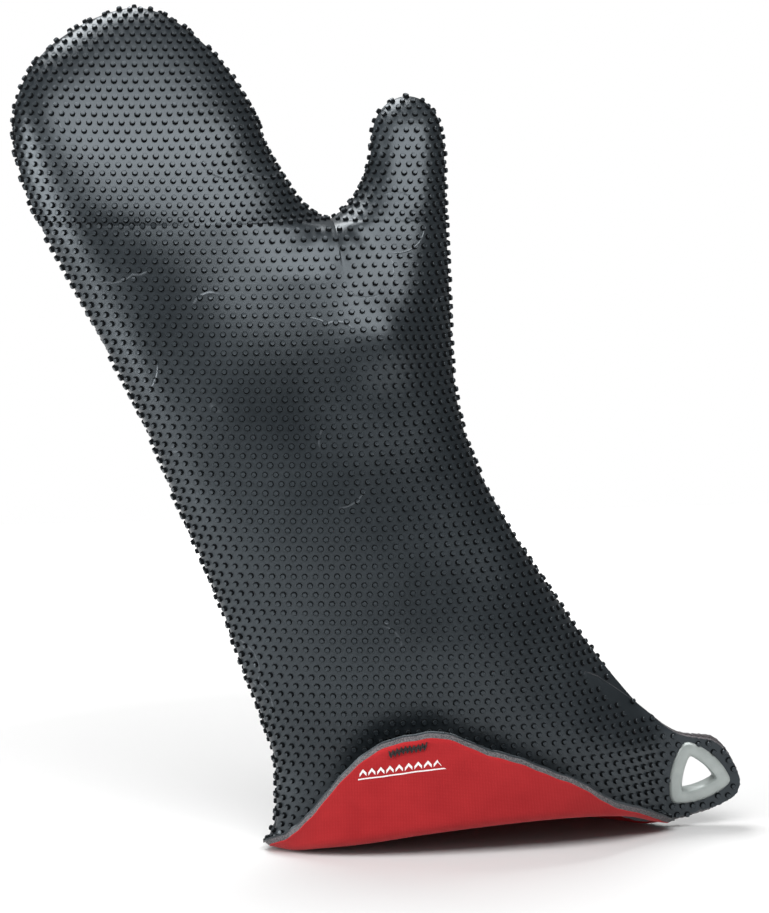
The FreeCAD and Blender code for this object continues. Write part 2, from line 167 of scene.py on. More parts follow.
def cubic(table, where):
    """Curve through (place, value) pairs that doesn't overshoot them."""
    place = np.array([row[0] for row in table], float)
    value = np.array([row[1] for row in table], float)
    step = np.diff(place)
    rise = np.diff(value) / step
    slope = np.zeros(len(place))
    slope[0], slope[-1] = rise[0], rise[-1]
    inner = (rise[:-1] * step[1:] + rise[1:] * step[:-1]) / (step[1:] + step[:-1])
    slope[1:-1] = np.where(rise[:-1] * rise[1:] > 0, inner, 0.0)
    where = np.clip(np.asarray(where, float), place[0], place[-1])
    spot = np.clip(np.searchsorted(place, where, side="right") - 1, 0, len(place) - 2)
    t = (where - place[spot]) / step[spot]
    return (value[spot] * (1 + 2 * t) * (1 - t) ** 2 + step[spot] * slope[spot] * t * (1 - t) ** 2
            + value[spot + 1] * t * t * (3 - 2 * t) + step[spot] * slope[spot + 1] * t * t * (t - 1))


def lean(z):
    """How far back the seam surface lies at a height."""
    return LEAN_BACK * (np.maximum(z - LEAN_FROM, 0.0) / LEAN_RISE) ** 2


def to_frame(points):
    """Design axes in millimetres to the frame in metres."""
    return (np.asarray(points, float).reshape(-1, 3) + SHIFT) / 1000.0


def add_mesh(name, points, faces, material, sharp_deg=50.0):
    """Object with smooth shading and sharp edges beyond an angle, from points in design axes."""
    mesh = bpy.data.meshes.new(name)
    mesh.from_pydata(to_frame(points).tolist(), [], faces)
    mesh.polygons.foreach_set("use_smooth", [True] * len(mesh.polygons))
    mesh.set_sharp_from_angle(angle=math.radians(sharp_deg))
    mesh.materials.append(material)
    mesh.update()
    piece = bpy.data.objects.new(name, mesh)
    bpy.context.scene.collection.objects.link(piece)
    return piece


def grid_faces(rows, columns, start=0, flip=False):
    """Quads of a grid of points that begins at index start."""
    index = start + np.arange(rows * columns).reshape(rows, columns)
    quads = np.stack([index[:-1, :-1], index[:-1, 1:], index[1:, 1:], index[1:, :-1]], -1)
    quads = quads.reshape(-1, 4)
    return quads[:, ::-1] if flip else quads


def weld(points, quads):
    """Merge points in one place, and drop what that leaves without area."""
    _, first, back = np.unique(np.round(points, 3), axis=0, return_index=True, return_inverse=True)
    faces = []
    for quad in back.reshape(-1)[quads].tolist():
        face = [v for k, v in enumerate(quad) if v != quad[k - 1]]
        if len(set(face)) >= 3:
            faces.append(face)
    return first, faces


def shell(outer, inner, quads):
    """Closed layer between two copies of one open sheet. The edges keep their order in a dict."""
    first, faces = weld(outer, quads)
    outer, inner = outer[first], inner[first]
    count = len(outer)
    seen = {}
    for face in faces:
        for a, b in zip(face, face[1:] + face[:1]):
            seen[(a, b)] = True
    rim = [(b, a, a + count, b + count) for a, b in seen if (b, a) not in seen]
    under = [[v + count for v in reversed(face)] for face in faces]
    return np.vstack([outer, inner]), faces + under + rim


def tube(path, radius):
    """Closed round tube along a path."""
    sides = 6
    path = np.asarray(path, float)
    run = np.gradient(path, axis=0)
    run /= np.linalg.norm(run, axis=1)[:, None]
    side = np.cross(run, np.array([0.13, -0.97, 0.2]))
    side /= np.linalg.norm(side, axis=1)[:, None]
    other = np.cross(run, side)
    turn = 2 * math.pi * np.arange(sides) / sides
    ring = (side[:, None, :] * np.cos(turn)[None, :, None]
            + other[:, None, :] * np.sin(turn)[None, :, None]) * radius
    points = (path[:, None, :] + ring).reshape(-1, 3)
    faces = []
    for row in range(len(path) - 1):
        for k in range(sides):
            a, b = row * sides + k, row * sides + (k + 1) % sides
            faces.append([a, b, b + sides, a + sides])
    last = (len(path) - 1) * sides
    faces.append(list(range(sides))[::-1])
    faces.append([last + k for k in range(sides)])
    return points, faces


# ---------------------------------------------------------------- the mitt's surface

def lens_power(share, z):
    """Exponent that sharpens the cuff's section towards the tab."""
    return 1.0 + LENS_POWER * smooth((share - 0.55) / 0.45) * smooth((118.0 - z) / 60.0)


def tube_grid(z, side):
    """Points of one panel, from the cuff to the crotch: a row for each height."""
    left, right = cubic(LEFT_EDGE, z), cubic(RIGHT_EDGE, z)
    depth = cubic(FRONT_DEPTH if side == FRONT else BACK_DEPTH, z)
    centre, half = (left + right) / 2, (right - left) / 2
    share = np.arange(COLUMNS + 1) / COLUMNS
    single = centre[:, None] - half[:, None] * np.cos(math.pi * share)[None, :]
    in_finger = np.arange(FINGER_COLUMNS) / FINGER_COLUMNS
    in_thumb = np.arange(THUMB_COLUMNS + 1) / THUMB_COLUMNS
    finger_half, thumb_half = (CROTCH_X - left) / 2, (right - CROTCH_X) / 2
    finger_x = (left + finger_half)[:, None] - finger_half[:, None] * np.cos(math.pi * in_finger)[None, :]
    thumb_x = (right - thumb_half)[:, None] - thumb_half[:, None] * np.cos(math.pi * in_thumb)[None, :]
    double = np.hstack([finger_x, thumb_x])
    mix = smooth((z - (CROTCH_Z - LOBE_MIX)) / LOBE_MIX)[:, None]
    x = single * (1 - mix) + double * mix
    round_off = np.sqrt(np.clip(1 - ((x - centre[:, None]) / half[:, None]) ** 2, 0, 1))
    one = depth[:, None] * round_off ** lens_power(share[None, :], z[:, None])
    valley = x[:, FINGER_COLUMNS]
    in_one = np.clip(2 * (x - left[:, None]) / (valley - left)[:, None] - 1, -1, 1)
    in_two = np.clip(2 * (x - valley[:, None]) / (right - valley)[:, None] - 1, -1, 1)
    below = np.clip((CROTCH_Z - z) / VALLEY, 0, 1)
    open_up = below[:, None] ** 0.8
    in_one, in_two = [np.sqrt(1 - near ** 2 * (1 - open_up * smooth(2 * inward)))
                      for near, inward in ((in_one, in_one), (in_two, -in_two))]
    two = np.where(x < valley[:, None], depth[:, None] * in_one, cubic(THUMB_DEPTH, z)[:, None] * in_two)
    near = np.exp(-((x - valley[:, None]) / VALLEY_WIDTH) ** 2)
    slow = smooth((CROTCH_Z - z) / LOBE_MIX)[:, None]
    keep = near * np.sqrt(1 - (1 - below) ** 2)[:, None] + (1 - near) * slow
    high = keep * one + (1 - keep) * two
    level = np.repeat(z[:, None], COLUMNS + 1, axis=1)
    return np.stack([x, lean(level) + side * high, level], -1)


def lobe_grid(z, outer_table, crotch_table, depth_table, top, columns, side, fingers):
    """Points of one panel over the fingers or the thumb, from the crotch's height to the tip.

    The curves run along a variable that makes the outline round where it turns level: at the tip,
    and on the crotch's side at both ends.
    """
    def from_both(height):
        return np.arcsin(np.sqrt(np.clip((np.asarray(height, float) - CROTCH_Z) / (top - CROTCH_Z), 0, 1)))

    def from_tip(height):
        return -np.sqrt(np.maximum(top - np.asarray(height, float), 0))

    def curve(table, along):
        return cubic([(float(along(height)), value) for height, value in table], along(z))

    outer, crotch = curve(outer_table, from_tip), curve(crotch_table, from_both)
    depth = curve(depth_table, from_tip)
    left, right = (outer, crotch) if fingers else (crotch, outer)
    turn = math.pi * np.arange(columns + 1) / columns
    x = ((left + right) / 2)[:, None] - ((right - left) / 2)[:, None] * np.cos(turn)[None, :]
    high = depth[:, None] * np.sin(turn)[None, :]
    level = np.repeat(z[:, None], columns + 1, axis=1)
    return np.stack([x, lean(level) + side * high, level], -1)


def fold_at(share, stage, inset=0.0):
    """Point of the turned-out hem: stage 0 to 1 is the wall, 1 to 2 the turn, 2 to 3 the lip."""
    share, stage = np.broadcast_arrays(np.asarray(share, float), np.asarray(stage, float))
    low, turn, lip, radius = [cubic(t, share) for t in (FOLD_LOW, FOLD_TURN, FOLD_LIP, FOLD_RADIUS)]
    lip = lip + 0.35 * np.sin(61.0 * share) + 0.2 * np.sin(173.0 * share + 1.0)  # a hand-cut edge
    turn = np.radians(turn)
    start, out = cuff_frame(share)
    centre_z = low + radius + LAMINATE
    reach = radius + inset
    theta = turn * np.clip(stage - 1, 0, 1)
    run = lip * np.clip(stage - 2, 0, 1)
    away = np.where(stage <= 1, -inset, radius - reach * np.cos(theta) + np.sin(theta) * run)
    wall = FOLD_Z + (centre_z - FOLD_Z) * np.clip(stage, 0, 1)
    z = np.where(stage <= 1, wall, centre_z - reach * np.sin(theta) - np.cos(theta) * run)
    flare = corner_flare(FLARE_FRONT, share, z)
    return np.stack([start[..., 0] + out[..., 0] * away - flare, start[..., 1] + out[..., 1] * away, z], -1)


def corner_flare(most, share, z):
    """How far the hem's left corner spreads outwards."""
    return most * np.exp(-((z / FLARE_HIGH) ** 2)) * np.exp(-((share / FLARE_SHARE) ** 2))


def cuff_frame(share):
    """Point on the front of the cuff where the fold starts, and its outward direction."""
    def place(at):
        turn = math.pi * np.clip(at, 0, 1)
        x = CUFF_MIDDLE - CUFF_HALF * np.cos(turn)
        y = -CUFF_DEPTH * np.sin(turn) ** lens_power(np.clip(at, 0, 1), FOLD_Z)
        return np.stack([x, y], -1)

    step = 0.004
    run = place(share + step) - place(share - step)
    out = np.stack([run[..., 1], -run[..., 0]], -1)
    out /= np.linalg.norm(out, axis=-1)[..., None]
    return place(share), out


def joined_normals(grids):
    """Normals of several grids that share edges. Each grid is (points, side)."""
    flat = np.vstack([points.reshape(-1, 3) for points, _ in grids])
    _, back = np.unique(np.round(flat, 3), axis=0, return_inverse=True)
    back = back.reshape(-1)
    total = np.zeros((back.max() + 1, 3))
    start = 0
    for points, side in grids:
        rows, columns = points.shape[:2]
        cross = np.cross(points[1:, 1:] - points[:-1, :-1], points[1:, :-1] - points[:-1, 1:])
        cross = cross.reshape(-1, 3) * (-side)
        quads = back[grid_faces(rows, columns, start)]
        for corner in range(4):
            np.add.at(total, quads[:, corner], cross)
        start += rows * columns
    total /= np.maximum(np.linalg.norm(total, axis=1), 1e-9)[:, None]
    flat_normals = total[back]
    made, start = [], 0
    for points, _ in grids:
        count = points.shape[0] * points.shape[1]
        made.append(flat_normals[start:start + count].reshape(points.shape))
        start += count
    return made


def swell(points, side):
    """Soft unevenness of a panel: the thumb's root, wrinkles at the crotch and slow waves."""
    x, z = points[..., 0], points[..., 2]
    root = ROOT_HIGH * np.exp(-((x - ROOT_X) / ROOT_WIDE) ** 2 - ((z - ROOT_Z) / ROOT_LONG) ** 2)
    dx, dz = x - CROTCH_X, CROTCH_Z - z
    away = np.hypot(dx, dz)
    ray = np.arctan2(dx, dz)
    wrinkle = 0.45 * np.cos(8.0 * ray + 0.9) * np.exp(-away / 24.0) * smooth(away / 9.0) * smooth(dz / 5.0)
    slow = (0.8 * np.sin(z / 27.0 + x / 55.0) * np.sin(x / 24.0 + z / 70.0 + 1.3)
            + 0.45 * np.sin(z / 15.0 - x / 33.0 + 2.0))
    if side == BACK:
        root = root * ROOT_BACK
    return (root + wrinkle + slow) * smooth((z - 30.0) / 50.0)


def fade_at_seam(sheet):
    """0 on a panel's seams and at the crotch, 1 away from them, and alike where two sheets join."""
    columns = sheet.points.shape[1]
    x, z = sheet.points[..., 0], sheet.points[..., 2]
    crotch = 1 - np.exp(-((x - CROTCH_X) ** 2 + (z - CROTCH_Z) ** 2) / 100.0)
    whole = smooth(np.sin(math.pi * np.arange(COLUMNS + 1) / COLUMNS) / 0.45)[None, :]
    if columns == COLUMNS + 1:
        return whole * crotch
    turn = np.sin(math.pi * np.arange(columns) / (columns - 1))[None, :]
    begin = 0 if columns == FINGER_COLUMNS + 1 else FINGER_COLUMNS
    low = whole[:, begin:begin + columns] * crotch * smooth(turn / 0.12)
    rise = smooth((z - CROTCH_Z) / 25.0)
    return smooth(turn / 0.45) * rise + low * (1 - rise)


def seam_groove(columns):
    """How deep the rubber dips at a panel's two seams."""
    depth = np.zeros(columns)
    depth[[0, -1]] = GROOVE_DEEP
    depth[[1, -2]] = GROOVE_SIDE
    return depth[None, :]


class Sheet:
    """One panel grid.

    Besides its points and outward normals it holds the groove's depth, each point's distance up the
    mitt (reach), how it draws back with depth (pull), and how many rows belong to the hem.
    """

    def __init__(self, points, side, low_rows=0):
        self.points = points
        self.side = side
        self.low_rows = low_rows
        self.normals = None
        self.groove = None
        self.reach = None
        self.pull = np.zeros(points.shape)


def spine_reach(points, column, start):
    """Distance along one column of a lobe, for all its points."""
    run = np.linalg.norm(np.diff(points[:, column], axis=0), axis=1)
    along = start + np.concatenate([[0.0], np.cumsum(run)])
    return np.repeat(along[:, None], points.shape[1], axis=1)


def lobe_heights(top, rows):
    """Row heights of a lobe, closer together at the crotch and at the tip."""
    return CROTCH_Z + (top - CROTCH_Z) * np.sin(math.pi / 2 * np.linspace(0, 1, rows)) ** 2


def build_sheets():
    """The six panel grids: tube, fingers and thumb, front and back."""
    body_z = np.unique(np.concatenate([np.linspace(FOLD_Z, 290.0, 108), np.linspace(290.0, 302.0, 8),
                                       np.linspace(302.0, CROTCH_Z, 6)]))
    hem_z = np.linspace(0.0, FOLD_Z, 15)[:-1]
    finger_z, thumb_z = lobe_heights(FINGER_TOP, 58), lobe_heights(THUMB_TOP, 40)
    finger_left = LEFT_EDGE[-4:-2] + [(CROTCH_Z, float(cubic(LEFT_EDGE, CROTCH_Z)))] + FINGER_LEFT
    finger_depth = FRONT_DEPTH[-4:-2] + FINGER_DEPTH
    thumb_right = RIGHT_EDGE[-2:-1] + THUMB_RIGHT
    share = np.arange(COLUMNS + 1) / COLUMNS
    stages = np.concatenate([np.linspace(3, 2, LIP_ROWS), np.linspace(2, 1, 13)[1:],
                             np.linspace(1, 0, 7)[1:-1]])
    sheets = {}
    for side, name in SIDES:
        if side == FRONT:
            low = fold_at(share[None, :], stages[:, None])
        else:
            low = tube_grid(hem_z, side)
            low[..., 0] -= corner_flare(FLARE_BACK, share[None, :], hem_z[:, None])
            lift = CORNER_LIFT * smooth((share - 0.84) / 0.16)
            low[..., 2] += lift[None, :] * (1 - hem_z / FOLD_Z)[:, None]
        sheets[name, "body"] = Sheet(np.vstack([low, tube_grid(body_z, side)]), side, len(low))
        sheets[name, "fingers"] = Sheet(lobe_grid(finger_z, finger_left, FINGER_RIGHT, finger_depth,
                                                  FINGER_TOP, FINGER_COLUMNS, side, True), side)
        sheets[name, "thumb"] = Sheet(lobe_grid(thumb_z, thumb_right, THUMB_LEFT, THUMB_DEPTH,
                                                THUMB_TOP, THUMB_COLUMNS, side, False), side)
    finish_sheets(sheets)
    return sheets


def sheet_normals(every):
    """Joined normals, evened out over the crowded columns in the valley below the crotch."""
    made = joined_normals([(sheet.points, sheet.side) for sheet in every])
    first, last = FINGER_COLUMNS - EVEN_COLUMNS, FINGER_COLUMNS + EVEN_COLUMNS
    share = np.linspace(0, 1, last - first + 1)[None, :, None]
    for sheet, normal in zip(every, made):
        if normal.shape[1] == COLUMNS + 1:
            even = normal[:, first:first + 1] * (1 - share) + normal[:, last:last + 1] * share
            normal[:, first:last + 1] = even / np.linalg.norm(even, axis=2)[..., None]
    return made


def finish_sheets(sheets):
    """Swell the panels, join their shared rows, and set normals, grooves and nub distances."""
    every = list(sheets.values())
    for sheet, normal in zip(every, sheet_normals(every)):
        fade = fade_at_seam(sheet)
        sheet.points = sheet.points + normal * (swell(sheet.points, sheet.side) * fade)[..., None]
        sheet.groove = np.repeat(seam_groove(sheet.points.shape[1]), sheet.points.shape[0], axis=0)
    for name in ("front", "back"):
        body = sheets[name, "body"]
        share_row(body, sheets[name, "fingers"], slice(0, FINGER_COLUMNS + 1))
        share_row(body, sheets[name, "thumb"], slice(FINGER_COLUMNS, COLUMNS + 1))
    for sheet, normal in zip(every, sheet_normals(every)):
        sheet.normals = normal
    for name in ("front", "back"):
        body = sheets[name, "body"]
        level = body.points[:, 0, 2]
        run = np.hypot(np.diff(level), np.diff(lean(level)))
        along = np.repeat(np.concatenate([[0.0], np.cumsum(run)])[:, None], COLUMNS + 1, axis=1)
        body.reach = along - along[body.low_rows]
        if name == "front":
            body.pull[:LIP_ROWS] = lip_pull(body.points[:LIP_ROWS])
            run = np.linalg.norm(np.diff(body.points[:body.low_rows + 1], axis=0), axis=2)
            down = np.cumsum(run[::-1], axis=0)[::-1]
            body.reach[:body.low_rows] = -down
        for part, column in (("fingers", FINGER_COLUMNS // 2), ("thumb", THUMB_COLUMNS // 2)):
            sheets[name, part].reach = spine_reach(sheets[name, part].points, column, body.reach[-1, 0])


def lip_pull(lip):
    """How the lip's rows draw back at one millimetre of depth, so that the cut edge slants."""
    run = lip[-1] - lip[0]
    length = np.linalg.norm(run, axis=1)[:, None]
    most = np.minimum(CUT_SLANT, 0.2 * length)
    share = np.linspace(1, 0, len(lip))[:, None, None]
    return share * (run / length * most)[None]


def share_row(body, lobe, columns):
    """Make a lobe's first row the body's last one, with one groove at the crotch."""
    body.points[-1, columns] = lobe.points[0]
    body.groove[-1, columns] = lobe.groove[0]


# ---------------------------------------------------------------- tab

TAB_CENTRE = (156.5, 27.0)     # also the grommet's
TAB_OUTLINE = [(96, 84), (114, 74), (129.3, 62.2), (139, 54), (148.1, 48.4), (160, 45.8), (166.2, 44.1),
               (173.1, 38.1), (177.9, 29.6), (180.1, 22.8), (178.7, 16.6), (173.5, 12.1), (165.3, 8.3),
               (157.5, 6), (148.7, 3.8), (139.9, 3.6), (124, 6), (105, 20), (98, 60)]
TAB_FACE = 3.3                 # half thickness
TAB_SLANT = 0.75
TAB_HOLE = 8.2
TAB_RUN_OUT = 5.0
FLANGE_RADIUS = 13.2           # of the grommet
LINING_SHORT = 1.6             # how far the lining ends inside the tab's cut edge

# The grommet's convex-sided triangle.
SIDE_ARC = 38.0
CORNER_TURN = math.radians(108.0)
CORNER_SHARPNESS = 14.0


def closed_curve(points, per_span):
    """Smooth closed curve through points."""
    points = np.asarray(points, float)
    count = len(points)
    t = np.linspace(0, 1, per_span, endpoint=False)[:, None]
    made = []
    for k in range(count):
        a, b, c, d = [points[(k + j) % count] for j in (-1, 0, 1, 2)]
        made.append(0.5 * (2 * b + (c - a) * t + (2 * a - 5 * b + 4 * c - d) * t ** 2
                           + (3 * b - a - 3 * c + d) * t ** 3))
    return np.vstack(made)


def tab_radius(angle):
    """Distance from the tab's centre to its cut edge, for each direction."""
    edge = closed_curve(TAB_OUTLINE, 14) - np.array(TAB_CENTRE)
    turn = np.arctan2(edge[:, 1], edge[:, 0])
    order = np.argsort(turn)
    return np.interp(angle, turn[order], np.hypot(edge[:, 0], edge[:, 1])[order], period=2 * math.pi)


def triangle_radius(angle, inner):
    """Radius of a convex-sided triangle with rounded corners, for each direction."""
    total = 0.0
    for k in range(3):
        mid = CORNER_TURN + math.radians(60.0 + 120.0 * k)
        off = SIDE_ARC - inner
        along = np.cos(angle - mid)
        reach = -off * along + np.sqrt(SIDE_ARC ** 2 - off ** 2 * (1 - along ** 2))
        total = total + reach ** (-CORNER_SHARPNESS)
    return total ** (-1.0 / CORNER_SHARPNESS)


def panel_depth(x, z, side):
    """Half depth of the cuff at a place, 0 outside it."""
    z = np.maximum(z, FOLD_Z)
    left, right = cubic(LEFT_EDGE, z), cubic(RIGHT_EDGE, z)
    depth = cubic(FRONT_DEPTH if side == FRONT else BACK_DEPTH, z)
    along = np.clip((x - (left + right) / 2) / ((right - left) / 2), -1, 1)
    share = np.arccos(-along) / math.pi
    return depth * np.sqrt(1 - along ** 2) ** lens_power(share, z)


def tab_share(z):
    """The tab's thickness as a share of the full one: it thins where it runs up the arm."""
    return 1 - 0.75 * smooth((np.asarray(z, float) - 48) / 14)


def tab_height(x, z, side):
    """Half thickness of the tab: flat, with a soft run-out into the cuff, and hidden under it."""
    cuff = panel_depth(x, z, side)
    face = TAB_FACE * tab_share(z)
    fillet = np.maximum(TAB_RUN_OUT - np.abs(cuff - face), 0) ** 2 / (4 * TAB_RUN_OUT)
    lift = np.maximum(cuff, face) + fillet * tab_share(z)
    return lift - 0.9 * smooth((cuff - 5.5) / 5.0)


def tab_grid(side, trim, short):
    """Tab surface as rings from the grommet's hole to the cut edge, which a layer may fall short of."""
    angle = 2 * math.pi * np.arange(180) / 180 - math.pi
    ragged = 0.12 * np.sin(41 * angle) + 0.1 * np.sin(67 * angle + side)
    outer = tab_radius(angle) + ragged
    if side == BACK:
        outer = outer + 1.0 * np.exp(-((angle - 1.1) / 0.5) ** 2)
    low = np.exp(-((angle + 1.75) / 0.9) ** 2)
    uneven = 1.0 + 0.2 * np.sin(23 * angle) * np.sin(5 * angle)
    outer = outer - short - trim * (0.25 + 0.75 * low) * uneven
    inner = triangle_radius(angle, TAB_HOLE)
    share = np.linspace(0, 1, 26)[:, None]
    radius = inner[None, :] * (1 - share) + outer[None, :] * share
    x = TAB_CENTRE[0] + radius * np.cos(angle)[None, :]
    z = TAB_CENTRE[1] + radius * np.sin(angle)[None, :]
    return np.stack([x, side * tab_height(x, z, side), z], -1)


def ring_quads(rows, columns, flip):
    """Quads between closed rings of points."""
    index = np.arange(rows * columns).reshape(rows, columns)
    after = np.roll(index, -1, axis=1)
    quads = np.stack([index[:-1], after[:-1], after[1:], index[1:]], -1).reshape(-1, 4)
    return quads[:, ::-1] if flip else quads


def make_tab(materials):
    """Rubber, foam and lining of the tab, front and back."""
    for side, name in SIDES:
        for layer, (near, far) in LAYERS:
            faces_of = []
            for depth in (near, far):
                trim = TAB_SLANT * (LAMINATE - depth) if side == FRONT else 0.0
                grid = tab_grid(side, trim, LINING_SHORT if layer == "lining" else 0.0)
                grid[..., 1] -= side * depth * tab_share(grid[..., 2])
                faces_of.append(grid.reshape(-1, 3))
            quads = ring_quads(grid.shape[0], grid.shape[1], side == FRONT)
            points, faces = shell(faces_of[0], faces_of[1], quads)
            piece = add_mesh("tab_%s_%s" % (name, layer), points, faces, materials[layer])
            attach(piece, "hand")
            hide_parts("hand_%s_%s" % (name, layer))


# ---------------------------------------------------------------- nubs

def nub_places(sheet, spans_of):
    """Centres and normals of the nubs on one sheet, in staggered rows."""
    centres, normals = [], []
    points, normal, reach = sheet.points, sheet.normals, sheet.reach
    rows, columns = reach.shape
    low, high = math.ceil(reach.min() / NUB_ROW), math.floor((reach.max() - 0.8) / NUB_ROW)
    every = np.arange(columns)
    for number in range(low, high + 1):
        level = number * NUB_ROW
        row = (reach <= level).sum(axis=0) - 1
        real = (row >= 0) & (row < rows - 1)
        row = np.clip(row, 0, rows - 2)
        gap = np.maximum(reach[row + 1, every] - reach[row, every], 1e-6)
        part = np.clip((level - reach[row, every]) / gap, 0, 1)[:, None]
        line = points[row, every] * (1 - part) + points[row + 1, every] * part
        line_normal = normal[row, every] * (1 - part) + normal[row + 1, every] * part
        along = np.concatenate([[0.0], np.cumsum(np.linalg.norm(np.diff(line, axis=0), axis=1))])
        for first, last in spans_of(level):
            middle = (first + last) // 2
            place = along - along[middle] + line[middle, 0]
            offset = NUB_PITCH / 2 if number % 2 else 0.0
            begin = math.ceil((place[first] + NUB_MARGIN - offset) / NUB_PITCH)
            end = math.floor((place[last] - NUB_MARGIN - offset) / NUB_PITCH)
            where = np.arange(begin, end + 1) * NUB_PITCH + offset
            if not len(where):
                continue
            at = np.interp(where, place[first:last + 1], every[first:last + 1])
            base = np.clip(at.astype(int), 0, columns - 2)
            keep = real[base] & real[base + 1]
            at, base = at[keep], base[keep]
            mixed = (at - base)[:, None]
            centres.append(line[base] * (1 - mixed) + line[base + 1] * mixed)
            normals.append(line_normal[base] * (1 - mixed) + line_normal[base + 1] * mixed)
    centres, normals = np.vstack(centres), np.vstack(normals)
    return centres, normals / np.linalg.norm(normals, axis=1)[:, None]


def nub_mesh(centres, normals, seed):
    """Small flat-topped rubber stubs, one at each centre, and which of their faces are wall and so take the
    painted shade.
    """
    rng = np.random.default_rng(seed)
    count = len(centres)
    side = np.cross(normals, np.array([0.31, 0.12, 0.94]))
    side /= np.linalg.norm(side, axis=1)[:, None]
    other = np.cross(normals, side)
    turn = 2 * math.pi * np.arange(NUB_SIDES) / NUB_SIDES
    round_ = side[:, None] * np.cos(turn)[None, :, None] + other[:, None] * np.sin(turn)[None, :, None]
    size = 1.0 + NUB_SPREAD * rng.standard_normal(count)
    rings = [centres[:, None] + size[:, None, None] * (round_ * radius + normals[:, None] * high)
             for radius, high in NUB_PROFILE]
    points = np.stack(rings, 1).reshape(-1, 3)
    k = np.arange(NUB_SIDES)
    after = (k + 1) % NUB_SIDES
    quads = np.vstack([np.stack([k, after, after + NUB_SIDES, k + NUB_SIDES], -1)
                       + ring * NUB_SIDES for ring in range(len(NUB_PROFILE) - 1)])
    each = NUB_SIDES * len(NUB_PROFILE)
    faces = (quads[None] + (np.arange(count) * each)[:, None, None]).reshape(-1, 4).tolist()
    cap = k + NUB_SIDES * (len(NUB_PROFILE) - 1)
    faces += (cap[None] + (np.arange(count) * each)[:, None]).tolist()
    # Wall and foot faces take the painted shade material; shoulders and caps keep the rubber.
    wall = [1] * NUB_SHADED_SPANS * NUB_SIDES + [0] * (len(quads) - NUB_SHADED_SPANS * NUB_SIDES)
    return points, faces, wall * count + [0] * count


def add_nubs(name, mesh, materials):
    """Piece of nubs, with painted shade, a darker copy of the rubber, on their walls and feet."""
    points, faces, wall = mesh
    piece = add_mesh(name, points, faces, materials["rubber"], NUB_SHARP)
    piece.data.materials.append(materials["shade"])
    piece.data.polygons.foreach_set("material_index", wall)
    piece.data.update()
    return piece


def body_spans(sheet):
    """Nub rows run from one centre low down, and from two where the lobes begin."""
    split = float(np.interp(CROTCH_Z - VALLEY, sheet.points[sheet.low_rows:, COLUMNS // 2, 2],
                            sheet.reach[sheet.low_rows:, 0]))

    def spans(level):
        if level < split:
            return [(0, COLUMNS)]
        return [(0, FINGER_COLUMNS), (FINGER_COLUMNS, COLUMNS)]

    return spans


def under_tab(centres, side):
    """True where the tab's surface covers the cuff's."""
    x, z = centres[:, 0], centres[:, 2]
    away = np.hypot(x - TAB_CENTRE[0], z - TAB_CENTRE[1])
    angle = np.arctan2(z - TAB_CENTRE[1], x - TAB_CENTRE[0])
    inside = away < tab_radius(angle) + 1.0
    return inside & (tab_height(x, z, side) > np.abs(centres[:, 1]) + 0.2)


def tab_nub_places(side):
    """Nubs on the tab, in the cuff's own rows, clear of the grommet and of the cut edge."""
    centres, normals = [], []
    step = 0.2
    for number in range(-6, 12):
        z = FOLD_Z + number * NUB_ROW
        offset = NUB_PITCH / 2 if number % 2 else 0.0
        for at in np.arange(18, 36) * NUB_PITCH + offset:
            dx, dz = at - TAB_CENTRE[0], z - TAB_CENTRE[1]
            away, angle = math.hypot(dx, dz), math.atan2(dz, dx)
            clear = triangle_radius(angle, FLANGE_RADIUS) + 0.7 < away < tab_radius(angle) - 1.3
            if clear and tab_height(at, z, side) > panel_depth(at, z, side) + 0.2:
                slope_x = (tab_height(at + step, z, side) - tab_height(at - step, z, side)) / (2 * step)
                slope_z = (tab_height(at, z + step, side) - tab_height(at, z - step, side)) / (2 * step)
                centres.append((at, side * tab_height(at, z, side), z))
                normals.append((-slope_x, side * 1.0, -slope_z))
    normals = np.array(normals, float)
    return np.array(centres, float), normals / np.linalg.norm(normals, axis=1)[:, None]


def make_nubs(sheets, materials):
    """Nubs of both panels, in one piece for the body with the thumb and one for the fingers, and one on
    each face of the tab.
    """
    for side, name in SIDES:
        body = sheets[name, "body"]
        centres, normals = nub_places(body, body_spans(body))
        keep = ~under_tab(centres, side)
        more = nub_places(sheets[name, "thumb"], lambda level: [(0, THUMB_COLUMNS)])
        mesh = nub_mesh(np.vstack([centres[keep], more[0]]), np.vstack([normals[keep], more[1]]), 11)
        bend_thumb(add_nubs("nubs_%s_body" % name, mesh, materials))
        mesh = nub_mesh(*nub_places(sheets[name, "fingers"], lambda level: [(0, FINGER_COLUMNS)]), 12)
        bend_fingers(add_nubs("nubs_%s_fingers" % name, mesh, materials))
        mesh = nub_mesh(*tab_nub_places(side), 13)
        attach(add_nubs("nubs_%s_tab" % name, mesh, materials), "hand")


# ---------------------------------------------------------------- panels

def frame_point(x, y, z):
    """A place in design axes as a tuple in the frame."""
    return tuple(float(v) for v in to_frame([(x, y, z)])[0])


def bend_thumb(piece):
    """Bake the piece's transform into its mesh; nothing is bent at the thumb's crease."""
    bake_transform(piece)


def bend_fingers(piece):
    """Bake the piece's transform into its mesh; nothing is bent at the knuckles."""
    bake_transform(piece)


def layer_points(sheet, depth):
    """A sheet's points at a depth below its outer face. The groove is only in the rubber's face."""
    away = np.hypot(sheet.points[..., 0] - CROTCH_X, sheet.points[..., 2] - CROTCH_Z)
    push = depth * (0.2 + 0.8 * smooth(away / 11.0)) + (sheet.groove if depth == 0 else 0.0)
    return (sheet.points - sheet.normals * push[..., None] + sheet.pull * depth).reshape(-1, 3)


